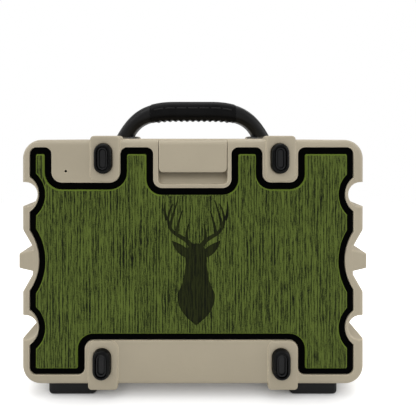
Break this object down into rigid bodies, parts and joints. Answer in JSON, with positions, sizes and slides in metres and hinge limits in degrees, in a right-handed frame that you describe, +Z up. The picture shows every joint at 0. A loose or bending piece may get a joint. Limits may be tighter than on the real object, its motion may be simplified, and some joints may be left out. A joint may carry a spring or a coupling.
{
  "type": "electronic game caller",
  "caption": "Rugged carry loudspeaker for calling game: split tan case, oval slotted grille, arched rubber-grip handle, foam-mat back, hinged port door and top keys.",
  "frame": {"origin": "middle of the footprint, on the plane that the feet rest on", "axes": "+Z up, -Y the way the grille faces, +X to the right of someone facing the grille from in front"},
  "size_m": [0.299, 0.135, 0.2643],
  "materials": {
    "tan_shell": "fine moulded texture, matte",
    "black_rubber": "matte",
    "black_plastic": "fine texture",
    "steel": "bright",
    "ferrite": "ground, dark grey",
    "cone_paper": "coated pulp, orange red",
    "foam_black": "closed-cell foam, matte",
    "foam_green": "brushed closed-cell foam",
    "circuit_board": "solder mask",
    "aluminium": "satin",
    "battery_wrap": "shrink wrap",
    "spider_cloth": "resin-dipped cloth"
  },
  "bodies": {
    "case": {"front_housing": "tan_shell", "rear_housing": "tan_shell", "housing_gasket": "black_rubber", "grille_bezel": "tan_shell", "grille": "tan_shell", "tweeter_cover": "tan_shell", "woofer_basket": "black_plastic", "woofer_gasket": "foam_black", "woofer_surround": "black_rubber", "woofer_spider": "spider_cloth", "woofer_top_plate": "steel", "woofer_magnet": "ferrite", "woofer_yoke": "steel", "tweeter_housing": "black_plastic", "handle_core": "black_plastic", "handle_grip": "black_rubber", "handle_plate_left": "steel", "handle_plate_right": "steel", "handle_bolt_left": "steel", "handle_bolt_right": "steel", "mat_base": "foam_black", "mat_face": "foam_green", "port_hinge_pin": "steel", "port_plate": "black_plastic", "usb_socket": "steel", "charge_socket": "black_plastic", "control_plate": "black_plastic", "control_board": "circuit_board", "amp_board": "circuit_board", "battery_pack": "battery_wrap", "battery_bracket": "aluminium", "microphone": "aluminium", "speaker_cable": "black_rubber", "woofer_screw_1": "steel", "case_screw_1": "steel", "rear_bumper_1": "black_rubber", "woofer_screw_2": "steel", "case_screw_2": "steel", "rear_bumper_2": "black_rubber", "woofer_screw_3": "steel", "case_screw_3": "steel", "rear_bumper_3": "black_rubber", "woofer_screw_4": "steel", "case_screw_4": "steel", "rear_bumper_4": "black_rubber", "foot_front_left": "black_rubber", "foot_front_right": "black_rubber", "foot_rear_left": "black_rubber", "foot_rear_right": "black_rubber"},
    "port_door": {"port_door": "tan_shell", "port_door_seal": "black_rubber"},
    "woofer_cone": {"woofer_cone": "cone_paper", "dust_cap": "cone_paper", "voice_coil": "aluminium"},
    "tweeter_dome": {"tweeter_dome": "aluminium"},
    "power_key": {"power_key": "black_rubber"},
    "volume_down_key": {"volume_down_key": "black_rubber"},
    "play_key": {"play_key": "black_rubber"},
    "volume_up_key": {"volume_up_key": "black_rubber"},
    "pairing_key": {"pairing_key": "black_rubber"}
  },
  "joints": [
    {"name": "port_door_hinge", "type": "hinge", "parent": "case", "child": "port_door", "pos_m": [0, 0.058, 0.2183], "axis": [1, 0, 0], "range_deg": [0, 110]},
    {"name": "woofer_stroke", "type": "slide", "parent": "case", "child": "woofer_cone", "axis": [0, -1, 0], "range_m": [-0.0035, 0.0035], "stiffness_N_per_m": 2000},
    {"name": "tweeter_stroke", "type": "slide", "parent": "case", "child": "tweeter_dome", "axis": [0, -1, 0], "range_m": [-0.0003, 0.0003]},
    {"name": "power_press", "type": "slide", "parent": "case", "child": "power_key", "axis": [0, 0, -1], "range_m": [0, 0.0012]},
    {"name": "volume_down_press", "type": "slide", "parent": "case", "child": "volume_down_key", "axis": [0, 0, -1], "range_m": [0, 0.0012]},
    {"name": "play_press", "type": "slide", "parent": "case", "child": "play_key", "axis": [0, 0, -1], "range_m": [0, 0.0012]},
    {"name": "volume_up_press", "type": "slide", "parent": "case", "child": "volume_up_key", "axis": [0, 0, -1], "range_m": [0, 0.0012]},
    {"name": "pairing_press", "type": "slide", "parent": "case", "child": "pairing_key", "axis": [0, 0, -1], "range_m": [0, 0.0012]}
  ]
}
